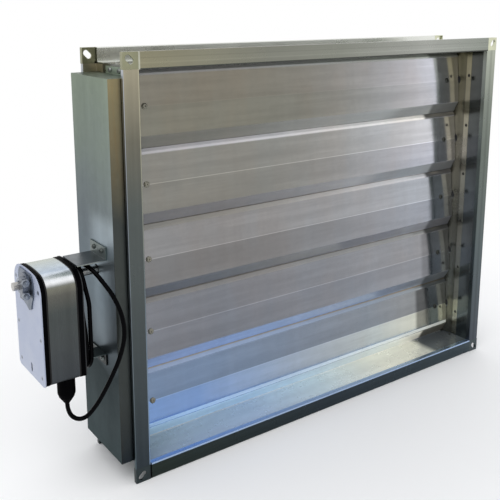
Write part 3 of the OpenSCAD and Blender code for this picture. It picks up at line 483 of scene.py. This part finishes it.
def plain_zinc(name, axis, *colors, **kind):
    """Galvanised sheet whose colour changes along one axis."""
    s = Shader(name)
    return zinc(s, gradient(s, s.axis(axis), *colors), **kind)


def fastener_zinc(name, axis, *colors):
    """Plated heads in painted light and shade that change with their place, as on the sheets beside them.
    """
    s = Shader(name)
    base = gradient(s, s.axis(axis), *colors)
    grime = s.remap(s.noise(60, 5, 0.6), 0.45, 0.7, 0, 0.5, True)
    base = s.mix(grime, base, times(s, base, 0.5))
    r = s.remap(grime, 0, 0.5, 0.35, 0.55)
    return s.finish(base, r, s.bump(s.noise(300, 3), FINE_MARKS), Metallic=0.6)


# Colours from 0 to 255, left and right, all painted reflections and shade: face, low, lip, crown; then the
# painted shade at the right ends
BLADES = {
    1: blade_sheet(1, 3.0, ((125, 122, 112), (208, 210, 220)), ((124, 123, 113), (194, 197, 206)),
                   ((114, 114, 107), (170, 176, 178)), ((148, 149, 149), (184, 190, 180)),
                   ((0.312, 0.7), (0.296, 0.34), (0.287, 0.34)), crease=1.1),
    2: blade_sheet(2, 2.5, ((135, 135, 130), (210, 214, 222)), ((132, 132, 127), (192, 196, 208)),
                   ((117, 117, 119), (176, 182, 188)), ((186, 186, 190), (255, 255, 250)),
                   ((0.307, 0.7), (0.302, 0.36), (0.283, 0.12)), line=(0.4, 0.38, 0.36)),
    3: blade_sheet(3, 2.0, ((141, 141, 142), (176, 181, 189)), ((127, 127, 128), (157, 162, 172)),
                   ((108, 110, 115), (160, 163, 172)), ((131, 130, 125), (212, 213, 217)),
                   ((0.302, 0.75), (0.302, 0.38), (0.294, 0.13)), line=(0.55, 0.5, 0.45)),
    4: blade_sheet(4, 1.5, ((124, 127, 134), (152, 154, 159)), ((125, 129, 137), (146, 150, 157)),
                   ((155, 180, 226), (146, 154, 162)), ((127, 127, 127), (148, 150, 150)),
                   ((0.289, 0.72), (0.299, 0.42), (0.299, 0.2)), line=(0.6, 0.56, 0.5)),
    5: blade_sheet(5, 0.8, ((124, 145, 174), (142, 146, 148)), ((134, 166, 216), (210, 214, 200)),
                   ((190, 226, 255), (255, 255, 240)), ((143, 163, 194), (138, 145, 148)),
                   ((0.280, 0.38), (0.299, 0.12), (0.299, 0.25)), painted_lip_reflection=True, line=(1.0, 0.75, 0.5)),
}
WALL = plain_zinc("casing_sheet", 2, (-0.3, 108, 117, 121), (-0.15, 128, 135, 138),
                  (-0.05, 120, 126, 127), (0.1, 104, 107, 105), (0.3, 96, 98, 90),
                  rough=(0.10, 0.2), grain=(1, 1, 0.12))
# The bottom sheet: painted light, brightest across the middle, and painted shade at its right end
BASIN = plain_zinc("casing_bottom_sheet", 0, (-0.37, 160, 172, 178), (-0.15, 176, 193, 213),
                   (0.0, 206, 221, 226), (0.15, 240, 238, 222), (0.27, 225, 226, 214),
                   (0.287, 92, 98, 102), rough=(0.2, 0.34), metallic=0.3, grain=(0.12, 1, 1))
LEFT_FLANGE = left_flange()
RIGHT_FLANGE = right_flange()
# The top profile in painted light along X; the bottom one in painted shade, its inner lip with a painted
# reflection
FLANGE_TOP = level_flange("flange_profile_top",
                          [(-0.375, 144, 140, 117), (-0.15, 132, 133, 123), (0, 138, 140, 131),
                           (0.2, 171, 173, 167), (0.375, 148, 153, 145)],
                          painted_seam=(186, 186, 170), line=1.12, inner=(80, 82, 78))
FLANGE_LOW = level_flange("flange_profile_bottom",
                          [(-0.375, 50, 58, 54), (0, 52, 61, 68), (0.375, 62, 74, 80)],
                          painted_seam=(6, 7, 8), line=1.1, inner=(168, 190, 222))
BACK_TOP = back_top_flange()
CORNER = corner_zinc()
COVER = cover_sheet()
SEAL = seal_sheet()
# Rivets in painted light and shade, darker toward the right like the sheets
RIVET = fastener_zinc("rivet", 0, (-0.33, 132, 130, 118), (-0.1, 120, 120, 116), (0.2, 62, 64, 62),
                      (0.33, 56, 58, 54))
DARK_RIVET = steel("dark_rivet", (0.055, 0.055, 0.05), rough=(0.35, 0.5))
SHAFT = steel("shaft_steel", (0.5, 0.49, 0.47), rough=(0.22, 0.4), stretch=(0.1, 1, 1))
LINK = steel("link_steel", (0.42, 0.41, 0.38), rough=(0.3, 0.45), scale=160)
POINTER = steel("position_pointer", (0.19, 0.22, 0.27), rough=(0.3, 0.45), scale=90, stain=0.85)
CLAMP = steel("shaft_clamp", (0.16, 0.18, 0.22), rough=(0.2, 0.4), scale=110, depth=0.0003, stain=0.8)
SCREW = steel("screw", (0.22, 0.23, 0.22), rough=(0.4, 0.55), stain=0.5)
# Bracket screws in painted light and shade, darker at the upper bracket
BRACKET_SCREW = fastener_zinc("bracket_screw", 2, (-0.14, 116, 124, 122), (-0.1, 116, 124, 122),
                              (0.02, 66, 72, 70), (0.05, 66, 72, 70))
FAST = steel("fastener", (0.30, 0.33, 0.38), rough=(0.2, 0.38), stain=0.7)
UPPER = bracket_sheet("upper_bracket", (112, 118, 122), (74, 82, 82), (150, 156, 150), UPPER_SHELF_Z)
LOWER = bracket_sheet("lower_bracket", (50, 60, 60), (14, 22, 22), (112, 122, 122), LOWER_SHELF_Z)
BLACK = (0.0012, 0.0012, 0.0016)
BUSH = plastic("bush_plastic", (0.035, 0.036, 0.038))
GASKET = plastic("gasket", BLACK, rough=(0.38, 0.55), spec=0.012, speck=0.004)
GLAND = plastic("gland_rubber", BLACK, rough=(0.45, 0.6), spec=0.012, speck=0.004)
JACKET = plastic("cable_jacket", BLACK, rough=(0.16, 0.24), spec=0.03, speck=0.004)
TIE = plastic("tie_plastic", (0.006, 0.006, 0.006), rough=(0.35, 0.5), spec=0.1)


def lacquer():
    """The actuator's front plate: pale lavender lacquer over sheet steel, with faint scuffs."""
    s = Shader("actuator_plate")
    cloud = s.noise(18, 5, 0.6)
    base = s.mix(s.remap(cloud, 0.35, 0.65, 0, 1), linear(154, 163, 186), linear(170, 177, 194))
    scuff = s.remap(s.noise(120, 6, 0.7, (1, 1, 0.3)), 0.58, 0.74, 0, 0.4, True)
    base = s.mix(scuff, base, linear(134, 146, 170))
    r = s.remap(cloud, 0.3, 0.7, 0.32, 0.45)
    return s.finish(base, r, s.bump(s.noise(260, 3), FINE_MARKS, s.bevel(0.0008)), Metallic=0.1)


def cast_housing():
    """The actuator's housing: brushed aluminium, with a painted highlight on its crown and painted shade
    down its sides.

    Its rims beside the gaskets are black, as the gaskets' lips cover them.
    """
    s = Shader("actuator_housing")
    z = s.axis(2)
    lines = s.noise(90, 4, 0.6, (1, 1, 0.03))
    # Painted shade down the sides
    side = gradient(s, z, (-0.137, 68, 72, 76), (-0.08, 78, 82, 83), (-0.03, 80, 85, 84),
                    (-0.004, 102, 102, 96))
    shoulder = gradient(s, z, (-0.004, 104, 104, 98), (0.006, 128, 128, 117), (0.012, 146, 152, 154))
    # A painted highlight on the crown
    crown = gradient(s, s.axis(1), (0.02, 255, 255, 255), (0.045, 206, 220, 236), (0.10, 240, 246, 236))
    base = s.mix(s.remap(z, -0.006, -0.002, 0, 1), side, shoulder)
    base = s.mix(s.remap(z, 0.007, 0.014, 0, 1, True), base, crown)
    base = s.mix(s.remap(lines, 0.35, 0.7, 0, 0.5), base, times(s, base, (0.72, 0.71, 0.70)))
    grime = s.remap(s.noise(30, 6, 0.65), 0.5, 0.75, 0, 0.3, True)
    base = s.mix(grime, base, times(s, base, (0.7, 0.7, 0.72)))
    r = s.remap(lines, 0.3, 0.7, 0.2, 0.34)
    front, back = (sorted(c[0] for c in nodes["actuator_housing"].bound_box)[i] for i in (0, -1))
    x = s.axis(0)
    rim = s.math("MAXIMUM", s.remap(x, front + 0.0022, front + 0.0026, 1, 0),
                 s.remap(x, back - 0.0026, back - 0.0022, 0, 1))
    base = s.mix(rim, base, (0.0015, 0.0015, 0.002))
    r = s.mix_value(rim, r, 0.5)
    s.bsdf.inputs["Specular Tint"].default_value = (0.6, 0.6, 0.6, 1)
    metal = s.math("SUBTRACT", 1.0, s.math("MULTIPLY", rim, 0.9))
    return s.finish(base, r, s.bump(lines, 0.00004), Metallic=metal)


def bow_zinc():
    """The clamp's bow: plated round bar whose two legs are threaded along Y."""
    s = Shader("clamp_bow")
    y = s.axis(1)
    grime = s.remap(s.noise(90, 5, 0.6), 0.45, 0.7, 0, 0.7, True)
    base = s.mix(grime, linear(142, 150, 162), linear(52, 60, 72))
    turns = s.math("SINE", s.math("MULTIPLY", y, 2 * math.pi / THREAD_PITCH))
    legs = s.remap(y, 0.0655, 0.0645, 0, 1)
    rough = s.remap(grime, 0, 0.7, 0.2, 0.4)
    return s.finish(base, rough, s.bump(s.math("MULTIPLY", turns, legs), 0.0003), Metallic=1.0)


PLATE = lacquer()
BOW = bow_zinc()
HOUSING = cast_housing()
BACK = steel("actuator_back", (0.045, 0.047, 0.05), rough=(0.35, 0.5))


# The material of each CAD node, by its name or else by the first group that its name fits
BY_NAME = {
    "seal_rivets": DARK_RIVET, "casing_rivets": RIVET, "casing_bottom": BASIN,
    "front_flange_top": FLANGE_TOP, "back_flange_top": BACK_TOP,
    "front_flange_bottom": FLANGE_LOW, "back_flange_bottom": FLANGE_LOW,
    "shaft_clamp": CLAMP, "clamp_bow": BOW, "position_pointer": POINTER, "link_bar": LINK,
    "linkage_cover": COVER, "cover_screws": SCREW, "left_bushes": BUSH, "right_bushes": BUSH,
    "upper_bracket": UPPER, "lower_bracket": LOWER, "bracket_screws": BRACKET_SCREW,
    "actuator_back_plate": BACK, "actuator_front_plate": PLATE, "actuator_housing": HOUSING,
    "actuator_back_gasket": GASKET, "actuator_front_gasket": GASKET,
    "cable_gland": GLAND, "cable": JACKET, "cable_coil": JACKET, "cable_tie": TIE,
}


def choose(name):
    if name in BY_NAME:
        return BY_NAME[name]
    if name.startswith("blade_rivets"):
        return RIVET
    if name.startswith("blade_"):
        return BLADES[int(name[-1])]
    if name.startswith("casing_"):
        return WALL
    if name.endswith("flange_corners"):
        return CORNER
    if "_flange_" in name:
        return LEFT_FLANGE if name.endswith("left") else RIGHT_FLANGE
    if name.endswith("side_seal"):
        return SEAL
    if name.startswith("shaft_"):
        return SHAFT
    if name.startswith("lever_"):
        return LINK
    return FAST


for name, obj in nodes.items():
    obj.data.materials.clear()
    obj.data.materials.append(choose(name))


# The lead: one tube from the gland round to two turns behind the actuator, ending in bare cores.
# ROUTE holds the CAD's points in millimetres: outward from the duct's left side, then Y and Z.
LEAD_D = 0.0065
ROUTE = [
    (110, 42, -179), (109.2, 41.6, -190), (106, 39, -200), (99, 35, -206), (91, 31, -206), (83, 27, -200),
    (73, 21, -185), (64, 14, -165), (55, 7, -142), (46, 2, -119), (40.5, -2, -98), (37.5, -4, -79),
    (37.5, -3, -60), (41, 0, -40), (47.5, 10, -18), (57, 26.5, 2.5), (64, 40, 14.5), (69, 51, 19.6),
]
# The coil, also in millimetres: two half circles of radius COIL_R joined by runs of length COIL_RUN
COIL_R, COIL_RUN, COIL_Y, COIL_TOP = 26.0, 106.0, 60.0, -6.0
COIL_NEAR, COIL_FAR = 72.55, 79.45  # how far out the first and the second turn lie
COIL_POINTS, POINTS_A_TURN = 98, 52


def ring_point(a, u, r):
    """A point on the coil: a in turns from the top, going back and down; u outward; r the turn's radius."""
    arc = math.pi * COIL_R / 2  # a quarter circle
    s = (a % 1.0) * (4 * arc + 2 * COIL_RUN)
    low = COIL_TOP - COIL_RUN
    if s < arc:
        t = s / COIL_R
        return (u, COIL_Y + r * math.sin(t), COIL_TOP + r * math.cos(t))
    if s < arc + COIL_RUN:
        return (u, COIL_Y + r, COIL_TOP - (s - arc))
    if s < 3 * arc + COIL_RUN:
        t = (s - arc - COIL_RUN) / COIL_R
        return (u, COIL_Y + r * math.cos(t), low - r * math.sin(t))
    if s < 3 * arc + 2 * COIL_RUN:
        return (u, COIL_Y - r, low + (s - 3 * arc - COIL_RUN))
    t = (s - 3 * arc - 2 * COIL_RUN) / COIL_R
    return (u, COIL_Y - r * math.cos(t), COIL_TOP + r * math.sin(t))


def ease(x):
    """0 below 0, 1 above 1 and a smooth step between."""
    x = min(max(x, 0.0), 1.0)
    return x * x * (3 - 2 * x)


def coil_points():
    """Two turns beside each other: the step outward lies in the first turn's top front arc.

    The coil starts a little nearer, where the route joins it, and its end tucks in at the front.
    """
    out = []
    for i in range(COIL_POINTS):
        a = i / POINTS_A_TURN
        u = COIL_NEAR + (COIL_FAR - COIL_NEAR) * ease((a - 0.80) / 0.13) - 1.5 * (1 - ease(a / 0.04))
        out.append(ring_point(a, u, COIL_R - 12.0 * ease((a - 1.66) / 0.16)))
    return out


def to_row(p):
    """Millimetres outward, Y and Z to metres in the row frame."""
    return Vector((-INNER_X - p[0] / 1000, p[1] / 1000, p[2] / 1000))


def smooth_path(points, steps=4):
    """A Catmull-Rom curve through the points."""
    out = []
    n = len(points)
    for i in range(n - 1):
        b, c = points[i], points[i + 1]
        a = points[i - 1] if i else 2 * b - c
        d = points[i + 2] if i + 2 < n else 2 * c - b
        for k in range(steps):
            t = k / steps
            out.append(0.5 * (2 * b + (c - a) * t + (2 * a - 5 * b + 4 * c - d) * t * t
                              + (3 * b - a - 3 * c + d) * t ** 3))
    out.append(points[-1])
    return out


def tube_curve(name, points, d, mat):
    data = bpy.data.curves.new(name, "CURVE")
    data.dimensions = "3D"
    data.bevel_depth = d / 2
    data.bevel_resolution = 5
    data.use_fill_caps = True
    spline = data.splines.new("POLY")
    spline.points.add(len(points) - 1)
    for p, q in zip(spline.points, points):
        p.co = (*q, 1)
    spline.use_smooth = True
    data.materials.append(mat)
    obj = bpy.data.objects.new(name, data)
    scene.collection.objects.link(obj)
    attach(obj, "casing")
    return obj


lead_path = smooth_path([to_row(p) for p in ROUTE] + [to_row(p) for p in coil_points()])
lead = tube_curve("lead", lead_path, LEAD_D, JACKET)
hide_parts("cable", "cable_coil")


CORE_D, FERRULE_D, FERRULE_LENGTH = 0.0022, 0.0013, 0.006
CORE_COLORS = ((0.16, 0.05, 0.02), (0.02, 0.06, 0.25))  # brown and blue
CORE_STEPS = ((-0.004, 0.0012), (0.004, 0.0014), (0.009, 0.0026), (0.013, 0.0034))  # ahead, aside


def cores():
    """Two bare cores at the lead's end, spreading apart, each with its ferrule."""
    end, before = lead_path[-1], lead_path[-4]
    ahead = (end - before).normalized()
    side = ahead.cross(Vector((1, 0, 0))).normalized()
    made = []
    for k, color in enumerate(CORE_COLORS, 1):
        s = 1 if k == 2 else -1
        pts = [end + ahead * a + side * s * b for a, b in CORE_STEPS]
        coat = plastic(f"core_{k}", color, speck=0.05)
        tip = [pts[-1], pts[-1] + (pts[-1] - pts[-2]).normalized() * FERRULE_LENGTH]
        made += [tube_curve(f"lead_core_{k}", smooth_path(pts, 3), CORE_D, coat),
                 tube_curve(f"lead_ferrule_{k}", tip, FERRULE_D, FAST)]
    return made


CORES = cores()


# Studio: pale floor, white surroundings and a soft lamp
def white_world():
    """White to the camera, in reflections and through glass; a faintly cool light elsewhere."""
    world = bpy.data.worlds.new("studio")
    scene.world = world
    world.use_nodes = True
    t = world.node_tree
    light = t.nodes["Background"]
    light.inputs[0].default_value = (0.97, 0.98, 1.0, 1)
    light.inputs[1].default_value = 1.0
    white = t.nodes.new("ShaderNodeBackground")
    white.inputs[0].default_value = (1, 1, 1, 1)
    white.inputs[1].default_value = 1.0
    rays = t.nodes.new("ShaderNodeLightPath").outputs
    direct = t.nodes.new("ShaderNodeMath")
    direct.operation = "ADD"
    seen = t.nodes.new("ShaderNodeMath")
    seen.operation = "ADD"
    seen.use_clamp = True
    t.links.new(rays["Is Camera Ray"], direct.inputs[0])
    t.links.new(rays["Is Glossy Ray"], direct.inputs[1])
    t.links.new(direct.outputs[0], seen.inputs[0])
    t.links.new(rays["Is Transmission Ray"], seen.inputs[1])
    mix = t.nodes.new("ShaderNodeMixShader")
    t.links.new(seen.outputs[0], mix.inputs[0])
    t.links.new(light.outputs[0], mix.inputs[1])
    t.links.new(white.outputs[0], mix.inputs[2])
    t.links.new(mix.outputs[0], t.nodes["World Output"].inputs[0])


def pale_floor():
    """A floor that keeps the object's shadow near it and fades to white further off."""
    half, z = 14, cad_lo.z - 0.0005
    fade_from, fade_to = 0.5, 1.3
    mesh = bpy.data.meshes.new("floor")
    corners = [(-half, -half, z), (half, -half, z), (half, half, z), (-half, half, z)]
    mesh.from_pydata(corners, [], [(0, 1, 2, 3)])
    floor = bpy.data.objects.new("floor", mesh)
    scene.collection.objects.link(floor)
    s = Shader("floor")
    tone = s.remap(s.noise(2.0, 4), 0.3, 0.7, 0, 1)
    s.finish(s.mix(tone, (0.94, 0.94, 0.94), (0.97, 0.97, 0.97)), 0.75)
    far = s.node("ShaderNodeVectorMath", operation="LENGTH")
    s.link(s.coords, far.inputs[0])
    fade = s.remap(far.outputs["Value"], fade_from, fade_to, 0, 1, True)
    rays = s.node("ShaderNodeLightPath").outputs
    direct = s.math("ADD", rays["Is Camera Ray"], rays["Is Glossy Ray"])
    seen = s.math("MINIMUM", s.math("ADD", direct, rays["Is Transmission Ray"]), 1.0)
    blend = s.node("ShaderNodeMixShader")
    s.link(s.math("MULTIPLY", fade, seen), blend.inputs[0])
    s.link(s.bsdf.outputs[0], blend.inputs[1])
    s.link(s.node("ShaderNodeEmission").outputs[0], blend.inputs[2])
    s.link(blend.outputs[0], s.tree.nodes["Material Output"].inputs["Surface"])
    mesh.materials.append(s.mat)


def key_lamp():
    """One broad lamp high at the left front, aimed at the origin."""
    data = bpy.data.lights.new("key", "AREA")
    data.shape = "RECTANGLE"
    data.size = data.size_y = 1.8
    data.energy = 22
    lamp = bpy.data.objects.new("key", data)
    scene.collection.objects.link(lamp)
    lamp.location = at = Vector((-1.8, -1.2, 2.6))
    lamp.rotation_mode = "QUATERNION"
    lamp.rotation_quaternion = (-at).to_track_quat("-Z", "Y")


white_world()
pale_floor()
key_lamp()
scene.view_settings.view_transform = "Standard"
